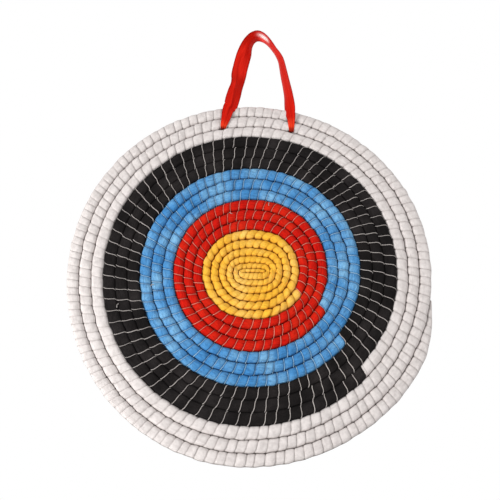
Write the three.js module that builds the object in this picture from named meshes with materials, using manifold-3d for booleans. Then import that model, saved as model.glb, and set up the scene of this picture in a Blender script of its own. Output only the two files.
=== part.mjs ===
// Round straw archery boss: one flat spiral of straw rope in five coloured cloth sleeves,
// hung from a satin ribbon that passes through between two white turns and is tied behind.
// Millimetres. +Z is up, the face looks along -Y, and the origin is where the ribbon hangs.
import * as THREE from "three";
import { mergeVertices } from "three/addons/utils/BufferGeometryUtils.js";
import Module from "manifold-3d";

const wasm = await Module();
wasm.setup();

// Rope: its width in the plane of the face grows from the thin start towards the full width.
const ropeWidthStart = 4.9;
const ropeWidthFull = 16.66;
const widthGrowthTurns = 4;
const ropeThicknessStart = 10.5;
const ropeThicknessFull = 17.5;
const thicknessGrowthTurns = 9;
const turnGap = 0.8;
const flatShare = 0.52;
const boreShare = 0.86;
const coreShare = 0.8;

// Spiral: the first turns lie round a short straight fold, which rounds off turn by turn.
const foldHalfLength = 14.2;
const foldTurns = 10.6;
const foldSquareFactor = 4;
const unevenDepth = 3.6;
const stepsPerTurn = 20;
const ringSides = 6;
const startTaperTurns = 0.2;
const endTaperTurns = 0.11;
const endTaperShare = 0.38;

// A hand-wound spiral strays from an even one. For each wave round the face, longest first, its
// cosine and sine parts at the rim are given as shares of the greatest stray.
const unevenShares = [
  [-0.25, 1],
  [-0.17, 0.05],
  [0.43, 0.13],
];

// Where each sleeve ends, counted in turns from the inner end of the rope.
const ropeStartTurns = 0.15;
const yellowEndTurns = 5.935;
const redEndTurns = 8.926;
const blueEndTurns = 11.9;
const blackEndTurns = 14.885;
const ropeEndTurns = 17.976;
const sleeveEndGap = 0.3;

// Sewing thread: it lies in the seams in front of the rope's middle, a little outside the seam line.
const threadThickness = 0.8;
const threadDepthShare = 0.8;
const threadShiftShare = 0.22;
const threadStartTurns = 0.25;

// Ribbon: the loop above the rim, the two passes through the boss and the tied ends behind.
const ribbonWidth = 19.5;
const ribbonThickness = 1.2;
const ribbonFaceGap = 3.4;
const loopRise = 157;
const loopHalfSpread = 50;
const loopStations = 44;
const loopMouthGap = 0.5;
const passTurns = 15.25;
const passWidth = 8;
const passClearance = 0.3;
const tieGap = 0.4;
const tieStripWidth = 11;
const knotLength = 17;
const knotHeight = 14;
const knotDepth = 9;
const knotShift = 2;
const knotRoundSteps = 14;
const knotRiseSteps = 8;
const tailLength = 46;
const tailWidth = 13;
const tailLeanDegrees = 24;

// The loop's stations from the left pass to the right one: across and up as shares of the half
// spread and the rise, the width as a share of the ribbon's, and its turn out of the face in degrees.
const loopShares = [
  [-0.92, 0.045, 0.5, 0],
  [-0.84, 0.15, 0.78, 4],
  [-0.74, 0.26, 0.97, 6],
  [-0.64, 0.36, 1, 8],
  [-0.565, 0.475, 1, 8],
  [-0.53, 0.605, 1, 6],
  [-0.45, 0.74, 1, 6],
  [-0.385, 0.835, 1, 12],
  [-0.3, 0.92, 1, 24],
  [-0.18, 0.975, 1, 40],
  [-0.04, 1, 1, 54],
  [0.12, 0.99, 1, 60],
  [0.3, 0.94, 1, 60],
  [0.48, 0.86, 1, 56],
  [0.68, 0.72, 1, 50],
  [0.81, 0.53, 1, 46],
  [0.93, 0.36, 1, 34],
  [1, 0.22, 0.92, 8],
  [1.03, 0.135, 0.75, 4],
  [1.04, 0.05, 0.5, 0],
];

const strawColour = 0xc9a967;
const yellowColour = 0xf0ba40;
const redColour = 0xcf1a12;
const blueColour = 0x3f8fd0;
const blackColour = 0x232124;
const whiteColour = 0xdcd6d2;
const threadColour = 0x9c968f;
const ribbonColour = 0xd01c12;

const fullTurn = 2 * Math.PI;
const ropeMiddleY = ribbonFaceGap + ropeThicknessFull / 2;
const backY = ribbonFaceGap + ropeThicknessFull;
const passFrontY = ribbonThickness / 2 + passClearance;

function smooth(share) {
  const s = Math.min(1, Math.max(0, share));
  return s * s * (3 - 2 * s);
}

// The rope's width and thickness at a turn count, drawn in at both of its ends.
function ropeWidth(turn) {
  const grown = ropeWidthFull - (ropeWidthFull - ropeWidthStart) * Math.exp(-turn / widthGrowthTurns);
  const start = smooth(turn / startTaperTurns);
  const end = endTaperShare + (1 - endTaperShare) * smooth((ropeEndTurns - turn) / endTaperTurns);
  return grown * start * end;
}

function ropeThickness(turn) {
  const growth = ropeThicknessFull - ropeThicknessStart;
  return ropeThicknessStart + growth * smooth(turn / thicknessGrowthTurns);
}

// How far hand winding moves a turn outward or inward: nothing at the start, most at the rim.
function strayAt(turn) {
  let stray = 0;
  unevenShares.forEach(([cosineShare, sineShare], wave) => {
    const angle = fullTurn * turn * (wave + 1);
    stray += cosineShare * Math.cos(angle) + sineShare * Math.sin(angle);
  });
  return unevenDepth * smooth(turn / ropeEndTurns) * stray;
}

// The line along which a turn meets the next one, as a point (x, z) round the spiral's pole.
// Before the first turn it is the fold's own middle line.
function seamPoint(turn) {
  let radius = strayAt(turn);
  for (let inner = turn; inner >= 0; inner--) {
    radius += ropeWidth(inner);
  }
  const across = Math.cos(fullTurn * turn);
  const rounding = Math.min(1, Math.max(0, turn / foldTurns));
  const halfLength = (foldHalfLength * (1 + Math.cos(Math.PI * rounding))) / 2;
  const squareness = Math.sqrt((1 + foldSquareFactor) / (1 + foldSquareFactor * across * across));
  return new THREE.Vector2(
    halfLength * across * squareness + radius * across,
    radius * Math.sin(fullTurn * turn),
  );
}

// The seam between two steps runs straight, as the rope's own facets do.
function seamOnFacet(turn) {
  const step = Math.floor(turn * stepsPerTurn);
  const from = seamPoint(step / stepsPerTurn);
  const to = seamPoint((step + 1) / stepsPerTurn);
  const along = to.clone().sub(from);
  return { point: from.addScaledVector(along, turn * stepsPerTurn - step), along: along.normalize() };
}

// The ribbon goes through the boss where the seam above the inner white turn reaches x.
function passAt(x) {
  const radius = seamPoint(passTurns).y;
  const seam = seamOnFacet(passTurns - Math.asin(x / radius) / fullTurn);
  const tilt = Math.atan2(-seam.along.y, -seam.along.x);
  return { x: seam.point.x, z: seam.point.y, tilt };
}

const leftPass = passAt(-loopHalfSpread);
const rightPass = passAt(loopHalfSpread);
const poleX = 0;
const poleZ = -(leftPass.z + rightPass.z) / 2 - loopRise;

// A six-sided ring of the rope, of a share of its full section, at a whole step.
function ropeRing(step, share) {
  const turn = step / stepsPerTurn;
  const outer = seamPoint(turn);
  const inner = seamPoint(turn - 1);
  const outward = outer.clone().sub(inner);
  const halfWidth = ((outward.length() - turnGap) / 2) * share;
  const halfDepth = (ropeThickness(turn) / 2) * share;
  const middle = inner.add(outer).multiplyScalar(1 / 2);
  outward.normalize();
  const corners = [
    [1, 0],
    [flatShare, 1],
    [-flatShare, 1],
    [-1, 0],
    [-flatShare, -1],
    [flatShare, -1],
  ];
  return corners.map(([across, deep]) => new THREE.Vector3(
    poleX + middle.x + outward.x * across * halfWidth,
    ropeMiddleY + deep * halfDepth,
    poleZ + middle.y + outward.y * across * halfWidth,
  ));
}

// A four-sided ring of the sewing thread, in the seam outside a turn, at a whole step.
function threadRing(step) {
  const turn = step / stepsPerTurn;
  const seam = seamPoint(turn);
  const outward = seam.clone().sub(seamPoint(turn - 1)).normalize();
  const shift = ((ropeWidth(turn) - turnGap) / 2) * threadShiftShare;
  const middleY = ropeMiddleY - (ropeThickness(turn) / 2) * threadDepthShare;
  const corners = [
    [1, 0],
    [0, 1],
    [-1, 0],
    [0, -1],
  ];
  return corners.map(([across, deep]) => {
    const reach = shift + (across * threadThickness) / 2;
    return new THREE.Vector3(
      poleX + seam.x + outward.x * reach,
      middleY + (deep * threadThickness) / 2,
      poleZ + seam.y + outward.y * reach,
    );
  });
}

// The thread's rings, from near the rope's start to where the last turn outside it tapers.
function threadRings() {
  const rings = [];
  const lastStep = Math.floor((ropeEndTurns - 1 - endTaperTurns) * stepsPerTurn);
  for (let step = Math.ceil(threadStartTurns * stepsPerTurn); step <= lastStep; step++) {
    rings.push(threadRing(step));
  }
  return rings;
}

// A ring anywhere along the rope, on the straight facets between two steps.
function ropeRingAt(turn, share) {
  const step = Math.floor(turn * stepsPerTurn);
  const from = ropeRing(step, share);
  const to = ropeRing(step + 1, share);
  return from.map((corner, i) => corner.lerp(to[i], turn * stepsPerTurn - step));
}

// All rings of a stretch of rope: its two ends and every whole step between them.
function ropeRings(startTurn, endTurn, share) {
  const rings = [ropeRingAt(startTurn, share)];
  for (let step = Math.floor(startTurn * stepsPerTurn) + 1; step < endTurn * stepsPerTurn; step++) {
    rings.push(ropeRing(step, share));
  }
  rings.push(ropeRingAt(endTurn, share));
  return rings;
}

function geometryOf(points, faces) {
  const geometry = new THREE.BufferGeometry();
  geometry.setAttribute("position", new THREE.Float32BufferAttribute(points.flatMap((p) => p.toArray()), 3));
  geometry.setIndex(faces);
  return geometry;
}

// The faces of a skin over rings of equal counts, looking outward, or inward for a bore.
function skinFaces(ringCount, sides, first, inward) {
  const faces = [];
  for (let ring = 0; ring < ringCount - 1; ring++) {
    for (let side = 0; side < sides; side++) {
      const a = first + ring * sides + side;
      const b = first + ring * sides + ((side + 1) % sides);
      const quad = [a, b, a + sides, b, b + sides, a + sides];
      faces.push(...(inward ? quad.reverse() : quad));
    }
  }
  return faces;
}

// A solid bar over rings, closed by a fan at each end.
function barGeometry(rings) {
  const sides = rings[0].length;
  const faces = skinFaces(rings.length, sides, 0, false);
  const last = (rings.length - 1) * sides;
  for (let side = 1; side < sides - 1; side++) {
    faces.push(0, side + 1, side);
    faces.push(last, last + side, last + side + 1);
  }
  return geometryOf(rings.flat(), faces);
}

// A sleeve: the rope's outer skin, its bore, and the two ring-shaped ends between them.
function sleeveGeometry(startTurn, endTurn) {
  const skin = ropeRings(startTurn, endTurn, 1);
  const bore = ropeRings(startTurn, endTurn, boreShare);
  const boreFirst = skin.length * ringSides;
  const faces = [
    ...skinFaces(skin.length, ringSides, 0, false),
    ...skinFaces(bore.length, ringSides, boreFirst, true),
  ];
  const last = (skin.length - 1) * ringSides;
  for (let side = 0; side < ringSides; side++) {
    const next = (side + 1) % ringSides;
    faces.push(side, boreFirst + side, boreFirst + next);
    faces.push(side, boreFirst + next, next);
    faces.push(last + side, boreFirst + last + next, boreFirst + last + side);
    faces.push(last + side, last + next, boreFirst + last + next);
  }
  return geometryOf([...skin.flat(), ...bore.flat()], faces);
}

// The least distance between one turn's outer corner and the next turn's inner corner.
function leastGap(rings, outerCorner, innerCorner) {
  const samples = 4;
  let least = Infinity;
  for (let i = 0; i + stepsPerTurn < rings.length - 1; i++) {
    for (let s = 0; s <= samples; s++) {
      const point = rings[i][outerCorner].clone().lerp(rings[i + 1][outerCorner], s / samples);
      const first = Math.max(0, i + stepsPerTurn - 2);
      const last = Math.min(rings.length - 2, i + stepsPerTurn + 2);
      for (let j = first; j <= last; j++) {
        const edge = new THREE.Line3(rings[j][innerCorner], rings[j + 1][innerCorner]);
        const nearest = edge.closestPointToPoint(point, true, new THREE.Vector3());
        least = Math.min(least, nearest.distanceTo(point));
      }
    }
  }
  return least;
}

function solidOf(geometry) {
  const bare = new THREE.BufferGeometry();
  bare.setAttribute("position", geometry.getAttribute("position"));
  bare.setIndex(geometry.index);
  const merged = mergeVertices(bare);
  return new wasm.Manifold(new wasm.Mesh({
    numProp: 3,
    vertProperties: new Float32Array(merged.attributes.position.array),
    triVerts: new Uint32Array(merged.index.array),
  }));
}

function geometryFrom(solid) {
  const mesh = solid.getMesh();
  const geometry = new THREE.BufferGeometry();
  geometry.setAttribute("position", new THREE.BufferAttribute(new Float32Array(mesh.vertProperties), 3));
  geometry.setIndex(new THREE.BufferAttribute(new Uint32Array(mesh.triVerts), 1));
  return geometry;
}

// A block along Y, as wide as given along the seam, set where the ribbon passes and tilted with it.
function passBlock(pass, width, height, fromY, toY) {
  const block = new THREE.BoxGeometry(width, toY - fromY, height);
  block.rotateY(-pass.tilt);
  block.translate(poleX + pass.x, (fromY + toY) / 2, poleZ + pass.z);
  return block;
}

// The white sleeve is pressed in on both sides of each pass, with a clearance to the ribbon.
function whiteSleeveGeometry(startTurn, endTurn) {
  let sleeve = solidOf(sleeveGeometry(startTurn, endTurn));
  for (const pass of [leftPass, rightPass]) {
    const slot = passBlock(
      pass,
      passWidth + 2 * passClearance,
      ribbonThickness + 2 * passClearance,
      0,
      backY + ribbonFaceGap,
    );
    sleeve = sleeve.subtract(solidOf(slot));
  }
  return geometryFrom(sleeve);
}

// The loop's two ends stand on the passes, square to the seam.
function loopEnd(pass, side) {
  const lift = ribbonThickness / 2 + loopMouthGap;
  const up = new THREE.Vector3(-Math.sin(pass.tilt), 0, Math.cos(pass.tilt));
  const centre = new THREE.Vector3(poleX + pass.x, 0, poleZ + pass.z).addScaledVector(up, lift);
  const across = new THREE.Vector3(Math.cos(pass.tilt), 0, Math.sin(pass.tilt));
  return { centre, across: across.multiplyScalar(side) };
}

function flatRing(centre, across, normal, width) {
  const halfWidth = across.clone().multiplyScalar(width / 2);
  const halfThickness = normal.clone().multiplyScalar(ribbonThickness / 2);
  return [
    centre.clone().add(halfWidth).add(halfThickness),
    centre.clone().sub(halfWidth).add(halfThickness),
    centre.clone().sub(halfWidth).sub(halfThickness),
    centre.clone().add(halfWidth).sub(halfThickness),
  ];
}

// The ribbon above the passes: a flat strip that turns out of the face towards its crown.
function loopGeometry() {
  const start = loopEnd(leftPass, -1);
  const end = loopEnd(rightPass, 1);
  const route = [start.centre];
  const shape = [new THREE.Vector3(passWidth / ribbonWidth, 0, 0)];
  for (const [across, up, width, turn] of loopShares) {
    route.push(new THREE.Vector3(across * loopHalfSpread, 0, (up - 1) * loopRise));
    shape.push(new THREE.Vector3(width, turn, 0));
  }
  route.push(end.centre);
  shape.push(new THREE.Vector3(passWidth / ribbonWidth, 0, 0));
  const path = new THREE.CatmullRomCurve3(route);
  const shapes = new THREE.CatmullRomCurve3(shape, false, "catmullrom", 0);
  const front = new THREE.Vector3(0, -1, 0);
  const rings = [flatRing(start.centre, start.across, front, passWidth)];
  for (let i = 1; i < loopStations; i++) {
    const share = i / loopStations;
    const along = path.getTangent(share);
    const { x: width, y: turn } = shapes.getPoint(share);
    const lean = THREE.MathUtils.degToRad(turn);
    const outward = new THREE.Vector3(-along.z, 0, along.x);
    const across = outward.clone().multiplyScalar(Math.cos(lean)).addScaledVector(front, Math.sin(lean));
    const normal = front.clone().multiplyScalar(Math.cos(lean)).addScaledVector(outward, -Math.sin(lean));
    rings.push(flatRing(path.getPoint(share), across, normal, width * ribbonWidth));
  }
  rings.push(flatRing(end.centre, end.across, front, passWidth));
  return barGeometry(rings);
}

// One pass of the ribbon through the boss, with its stretch along the back towards the knot.
function passGeometry(pass, side) {
  const stripOuterY = backY + tieGap + ribbonThickness;
  const bar = solidOf(passBlock(pass, passWidth, ribbonThickness, passFrontY, stripOuterY));
  const inKnot = 1 - ribbonThickness / (knotDepth / 2);
  const knotReach = (knotLength / 2) * Math.sqrt(1 - inKnot * inKnot) + passClearance;
  const knotEndX = knotShift + side * knotReach;
  const farEndX = poleX + pass.x + (side * passWidth) / 2;
  const strip = new THREE.BoxGeometry(Math.abs(farEndX - knotEndX), ribbonThickness, tieStripWidth);
  strip.translate((farEndX + knotEndX) / 2, stripOuterY - ribbonThickness / 2, poleZ + pass.z);
  return geometryFrom(bar.add(solidOf(strip)));
}

// The knot behind the boss with the ribbon's two free ends.
function knotGeometry() {
  const z = poleZ + (leftPass.z + rightPass.z) / 2;
  const stripMiddleY = backY + tieGap + ribbonThickness / 2;
  const ball = new THREE.SphereGeometry(1, knotRoundSteps, knotRiseSteps);
  ball.scale(knotLength / 2, knotDepth / 2, knotHeight / 2);
  ball.translate(knotShift, backY + tieGap + knotDepth / 2, z);
  let knot = solidOf(ball);
  for (const side of [-1, 1]) {
    const tail = new THREE.BoxGeometry(tailWidth, ribbonThickness, tailLength);
    tail.translate(0, 0, -tailLength / 2);
    tail.rotateY(THREE.MathUtils.degToRad(side * -tailLeanDegrees));
    const layers = side < 0 ? 1 : 2;
    tail.translate(knotShift, stripMiddleY + passClearance + layers * ribbonThickness, z);
    knot = knot.add(solidOf(tail));
  }
  return geometryFrom(knot);
}

const boss = new THREE.Group();
boss.name = "archery_target_boss";

function addNode(name, geometry, color, roughness) {
  const material = new THREE.MeshStandardMaterial({ color, roughness, metalness: 0, flatShading: true });
  const mesh = new THREE.Mesh(geometry, material);
  mesh.name = name;
  boss.add(mesh);
}

// Half the gap between two sleeves, in turns, where a sleeve ends.
function halfEndGap(turn) {
  return sleeveEndGap / 2 / (fullTurn * seamPoint(turn).length());
}

addNode(
  "straw_core",
  barGeometry(ropeRings(ropeStartTurns, ropeEndTurns, coreShare)),
  strawColour,
  0.9,
);
const sleeves = [
  ["yellow_sleeve", ropeStartTurns, yellowEndTurns, yellowColour, sleeveGeometry],
  ["red_sleeve", yellowEndTurns, redEndTurns, redColour, sleeveGeometry],
  ["blue_sleeve", redEndTurns, blueEndTurns, blueColour, sleeveGeometry],
  ["black_sleeve", blueEndTurns, blackEndTurns, blackColour, sleeveGeometry],
  ["white_sleeve", blackEndTurns, ropeEndTurns, whiteColour, whiteSleeveGeometry],
];
for (const [name, from, to, colour, make] of sleeves) {
  const start = from === ropeStartTurns ? from : from + halfEndGap(from);
  const end = to === ropeEndTurns ? to : to - halfEndGap(to);
  addNode(name, make(start, end), colour, 0.8);
  const gap = leastGap(ropeRings(start, end, 1), 0, ringSides / 2);
  console.log(`${name}: least gap to itself ${gap.toFixed(2)} mm`);
}
addNode("sewing_thread", barGeometry(threadRings()), threadColour, 0.7);
console.log(`sewing_thread: least gap to itself ${leastGap(threadRings(), 0, 2).toFixed(2)} mm`);
addNode("ribbon_loop", loopGeometry(), ribbonColour, 0.45);
addNode("ribbon_left_pass", passGeometry(leftPass, -1), ribbonColour, 0.45);
addNode("ribbon_right_pass", passGeometry(rightPass, 1), ribbonColour, 0.45);
addNode("ribbon_knot", knotGeometry(), ribbonColour, 0.45);

export default boss;
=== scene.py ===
import math
import bpy
import numpy as np
from mathutils import Matrix, Vector


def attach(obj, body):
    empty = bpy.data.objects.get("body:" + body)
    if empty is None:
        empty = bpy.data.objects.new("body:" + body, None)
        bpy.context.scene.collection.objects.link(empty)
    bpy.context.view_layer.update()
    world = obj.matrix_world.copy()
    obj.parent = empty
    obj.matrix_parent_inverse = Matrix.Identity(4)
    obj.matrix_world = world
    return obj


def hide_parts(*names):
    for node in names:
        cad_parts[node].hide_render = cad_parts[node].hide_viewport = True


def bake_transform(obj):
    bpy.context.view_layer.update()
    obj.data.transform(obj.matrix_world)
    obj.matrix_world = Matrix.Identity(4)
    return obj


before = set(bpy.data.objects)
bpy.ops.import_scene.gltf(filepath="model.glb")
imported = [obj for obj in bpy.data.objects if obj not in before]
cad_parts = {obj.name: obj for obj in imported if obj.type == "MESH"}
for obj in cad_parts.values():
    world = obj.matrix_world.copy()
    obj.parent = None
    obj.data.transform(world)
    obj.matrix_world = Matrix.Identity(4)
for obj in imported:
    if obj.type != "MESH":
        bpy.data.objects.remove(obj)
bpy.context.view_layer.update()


# Camera: it stands low in front of the boss and looks up at it, turned a little clockwise, as the
# boss hangs slightly askew in the photograph.
view_target = Vector((-0.00537, 0, -0.34356))
view_distance = 1.05884
view_rise = 0.35114
view_swing = 0.00236
view_roll = 0.01485
sensor_width = 36
picture_width = 500
pixels_to_a_millimetre = 0.73809

looking = Vector((
    -math.sin(view_swing) * math.cos(view_rise),
    math.cos(view_swing) * math.cos(view_rise),
    math.sin(view_rise),
))
level = looking.cross(Vector((0, 0, 1))).normalized()
upright = level.cross(looking)
right = level * math.cos(view_roll) + upright * math.sin(view_roll)
above = upright * math.cos(view_roll) - level * math.sin(view_roll)
bpy.ops.object.select_all(action="DESELECT")
bpy.ops.object.camera_add()
camera = bpy.context.object
camera.name = "photograph_camera"
camera.matrix_world = Matrix.Translation(view_target - looking * view_distance) @ Matrix(
    (right, above, -looking)
).transposed().to_4x4()
camera.data.sensor_width = sensor_width
camera.data.lens = sensor_width * pixels_to_a_millimetre * view_distance * 1000 / picture_width
camera.data.clip_start = 0.05
bpy.context.scene.camera = camera


# Straw core: one long rope of packed dry straw, wound outward from a short straight fold. It lies
# hidden inside the sleeves, with its stems twisted slightly round one another. Sizes are in metres,
# and places along the rope in turns from the centre.
pole = (0, -0.37245)
rope_start_turns = 0.15
rope_end_turns = 17.976
rope_width_start = 0.0049
rope_width_full = 0.01666
rope_width_growth_turns = 4
rope_point_turns = 0.2
rope_taper_turns = 0.061
rope_taper_share = 0.93
rope_thickness_start = 0.0105
rope_thickness_full = 0.0175
rope_thickness_growth_turns = 9
rope_flattened_turns = 0.06
rope_middle_y = 0.01215
fold_half_length = 0.0142
fold_rounded_turns = 10.6
fold_squareness = 4
# The turns stray from an even spiral: shares of the cosine and sine of one, two and three waves a turn.
stray_depth = 0.0036
stray_waves = [(-0.25, 1), (-0.17, 0.05), (0.43, 0.13)]
# They waver where they were pressed by hand: pace of each wave, the way it runs, and where it starts.
waver_depth = 0.0002
waver_waves = [(310, 0.4, 0), (265, 1.7, 2), (390, 2.6, 4), (205, 2.1, 1)]
calm_radius = 0.012
# The rim bulges and is drawn in: depth, angle and spread of each.
rim_bulges = [(0.0013, -1.7, 0.45), (-0.0022, -0.1, 0.55)]
rim_inner_radius = 0.195
rim_breadth = 0.035
# The rows under the fold sag.
sag_depth = 0.0031
sag_half_width = 0.034
sag_first_row = 0.0062
sag_last_row = 0.03
# The straw's share of the rope's size, as pairs of a turn and the share there.
straw_shares = [(5.8, 0.5), (6.2, 0.62), (11.7, 0.62), (12.1, 0.74)]
straw_sides = 22
straw_stems = 11
straw_stem_height = 0.05
straw_twist_a_metre = 39.25
straw_step = 0.007
straw_set_in = 0.003
straw_set_back = 0.004
straw_radius = 0.0065


class Value:
    """One value on its way through a finish, so that shader maths reads as plain sums."""

    def __init__(self, finish, socket):
        self.finish = finish
        self.socket = socket

    def maths(self, operation, *terms):
        return self.finish.node("ShaderNodeMath", {"operation": operation}, dict(enumerate(terms)))

    def __add__(self, other):
        return self.maths("ADD", self, other)

    def __sub__(self, other):
        return self.maths("SUBTRACT", self, other)

    def __rsub__(self, other):
        return self.maths("SUBTRACT", other, self)

    def __mul__(self, other):
        return self.maths("MULTIPLY", self, other)

    __radd__ = __add__
    __rmul__ = __mul__

    def sine(self):
        return self.maths("SINE", self)

    def held(self):
        return self.finish.node("ShaderNodeClamp", {}, {0: self})


class Finish:
    """The surface of one piece: a dyed base whose colour, roughness and relief vary over it."""

    def __init__(self, name, **fixed):
        self.material = bpy.data.materials.new(name)
        self.material.use_nodes = True
        self.tree = self.material.node_tree
        self.shader = self.tree.nodes["Principled BSDF"]
        for socket, value in fixed.items():
            self.shader.inputs[socket.replace("_", " ")].default_value = value

    def node(self, kind, settings, sockets, output=0):
        node = self.tree.nodes.new(kind)
        for name, value in settings.items():
            setattr(node, name, value)
        for name, value in sockets.items():
            if isinstance(value, Value):
                self.tree.links.new(value.socket, node.inputs[name])
            else:
                node.inputs[name].default_value = value
        return Value(self, node.outputs[output])

    def place(self):
        return self.node("ShaderNodeTexCoord", {}, {}, "Object")

    def cloth_way(self, way):
        laid = self.node("ShaderNodeUVMap", {"uv_map": "laid"}, {})
        return self.node("ShaderNodeSeparateXYZ", {}, {0: laid}, way)

    def stretched(self, along, around):
        laid = self.node("ShaderNodeUVMap", {"uv_map": "laid"}, {})
        sockets = {0: laid, 1: (along, around, 1)}
        return self.node("ShaderNodeVectorMath", {"operation": "MULTIPLY"}, sockets)

    def mottle(self, vector, scale, detail):
        return self.node("ShaderNodeTexNoise", {}, {"Vector": vector, "Scale": scale, "Detail": detail})

    def measured(self, name):
        return self.node("ShaderNodeAttribute", {"attribute_name": name}, {}, "Fac")

    def mixed(self, share, first, second):
        return self.node("ShaderNodeMix", {"data_type": "RGBA"}, {0: share, 6: first, 7: second}, 2)

    def relief(self, height, depth, strength=1.0):
        sockets = {"Height": height, "Distance": depth, "Strength": strength}
        return self.node("ShaderNodeBump", {}, sockets)

    def give(self, socket, value):
        self.tree.links.new(value.socket, self.shader.inputs[socket])


def smooth(share):
    share = np.clip(share, 0, 1)
    return share * share * (3 - 2 * share)


def by_turn(turn, pairs):
    """A value that changes along the rope, from pairs of a turn and the value there."""
    turns, values = zip(*pairs)
    return np.interp(turn, turns, values)


def rope_width(turn):
    missing = (rope_width_full - rope_width_start) * np.exp(-turn / rope_width_growth_turns)
    tapered = np.clip(1 - (rope_end_turns - turn) / rope_taper_turns, 0, 1) ** 1.5
    return (rope_width_full - missing) * smooth(turn / rope_point_turns) * (1 - rope_taper_share * tapered)


def seam_at(turn):
    """Where a turn of the rope meets the next one outside it, in the plane of the face."""
    angle = 2 * math.pi * turn
    stray = 0
    for wave, (cosine, sine) in enumerate(stray_waves, 1):
        stray = stray + cosine * np.cos(wave * angle) + sine * np.sin(wave * angle)
    radius = stray_depth * smooth(turn / rope_end_turns) * stray
    for lap in range(math.ceil(rope_end_turns) + 1):
        radius = radius + np.where(turn - lap >= 0, rope_width(np.maximum(turn - lap, 0)), 0)
    across = np.cos(angle)
    half = fold_half_length * (1 + np.cos(math.pi * np.clip(turn / fold_rounded_turns, 0, 1))) / 2
    half = half * np.sqrt((1 + fold_squareness) / (1 + fold_squareness * across * across))
    return np.stack([pole[0] + (half + radius) * across, pole[1] + radius * np.sin(angle)], -1)


# The rope's course: for every small step of a turn, its length so far, middle, way outward and size.
course_turns = np.linspace(0.05, rope_end_turns, 12000)
outer_seam = seam_at(course_turns)
inner_seam = seam_at(course_turns - 1)
course_middle = (outer_seam + inner_seam) / 2
course_width = np.linalg.norm(outer_seam - inner_seam, axis=1)
course_outward = (outer_seam - inner_seam) / course_width[:, None]
thickness_grown = smooth(course_turns / rope_thickness_growth_turns)
course_depth = rope_thickness_start + (rope_thickness_full - rope_thickness_start) * thickness_grown
course_depth = course_depth * (0.5 + 0.5 * smooth((rope_end_turns - course_turns) / rope_flattened_turns))
course_length = np.concatenate([
    [0], np.cumsum(np.linalg.norm(np.diff(course_middle, axis=0), axis=1)),
])


def on_course(length):
    """The rope's middle (x, z), way outward (x, z), half width and half depth at a length."""
    columns = (*course_middle.T, *course_outward.T, course_width / 2, course_depth / 2)
    return [np.interp(length, course_length, column) for column in columns]


def tube_faces(rings, sides):
    """Four-sided faces over rings of equal counts, and one face over each end."""
    ring, side = np.meshgrid(np.arange(rings - 1), np.arange(sides), indexing="ij")
    start = ring * sides + side
    beside = ring * sides + (side + 1) % sides
    quads = np.stack([start, beside, beside + sides, start + sides], -1).reshape(-1, 4)
    last = (rings - 1) * sides
    return quads, list(range(sides))[::-1], [last + side for side in range(sides)]


def lay_mesh(name, points, faces, laid, shades):
    """A finished piece from its points and faces, with its cloth map and its measured shades."""
    mesh = bpy.data.meshes.new(name)
    mesh.from_pydata(points.tolist(), [], faces)
    piece = bpy.data.objects.new(name, mesh)
    bpy.context.collection.objects.link(piece)
    corners = np.zeros(len(mesh.loops), int)
    mesh.loops.foreach_get("vertex_index", corners)
    mesh.uv_layers.new(name="laid").data.foreach_set("uv", laid(corners).ravel())
    for shade, values in shades.items():
        mesh.attributes.new(shade, "FLOAT", "POINT").data.foreach_set("value", values.astype(np.float32))
    mesh.polygons.foreach_set("use_smooth", np.ones(len(mesh.polygons), bool))
    mesh.update()
    return piece


def turned_outward(points, quads):
    """Whether the four-sided faces of a closed skin already look outward."""
    a, b, c = points[quads[:, 0]], points[quads[:, 1]], points[quads[:, 2]]
    middle = points.mean(0)
    return np.einsum("ij,ij->i", a - middle, np.cross(b - middle, c - middle)).sum() > 0


def wound_skin(name, points, along, around, shades):
    """A closed skin over rings of points, laid out along and around as the cloth on it lies."""
    rings, sides = points.shape[:2]
    flat = points.reshape(-1, 3)
    quads, first, last = tube_faces(rings, sides)
    if not turned_outward(flat, quads):
        quads, first, last = quads[:, ::-1], first[::-1], last[::-1]
    faces = quads.tolist() + [first, last]

    def laid(corners):
        u, v = along.ravel()[corners], around.ravel()[corners].copy()
        quad_corners = 4 * len(quads)
        side = (corners[:quad_corners] % sides).reshape(-1, 4)
        closing = (side.max(1) - side.min(1) > 1)[:, None] & (side == 0)
        turn_round = around[:, -1].max() * sides / (sides - 1)
        v[:quad_corners] += np.where(closing, turn_round, 0).ravel()
        return np.stack([u, v], -1)

    return lay_mesh(name, flat, faces, laid, shades)


def hand_wound(points):
    """The turns waver a little against each other, the inner and the outer one together. The rows
    below the fold lie lower than even ones would, and the rim is drawn in at the right and hangs
    out below."""
    x, z = points[..., 0] - pole[0], points[..., 2] - pole[1]
    radius = np.hypot(x, z) + 0.000001
    angle = np.arctan2(z, x)
    rim = 0
    for depth, bulge_angle, spread in rim_bulges:
        rim = rim + depth * np.exp(-((angle - bulge_angle) / spread) ** 2)
    waver = 0
    for pace, lean, start in waver_waves:
        waver = waver + np.sin(pace * (x * math.cos(lean) + z * math.sin(lean)) + start)
    out_of_fold = smooth((radius - calm_radius) / 0.03)
    waver = waver * waver_depth * out_of_fold + rim * smooth((radius - rim_inner_radius) / rim_breadth)
    fading = 1 - smooth((-z - sag_last_row) / 0.04)
    sag = sag_depth * smooth(-z / sag_first_row) * fading * np.exp(-(x / sag_half_width) ** 4)
    points[..., 0] += waver * x / radius
    points[..., 2] += waver * z / radius - sag
    return points


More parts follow.
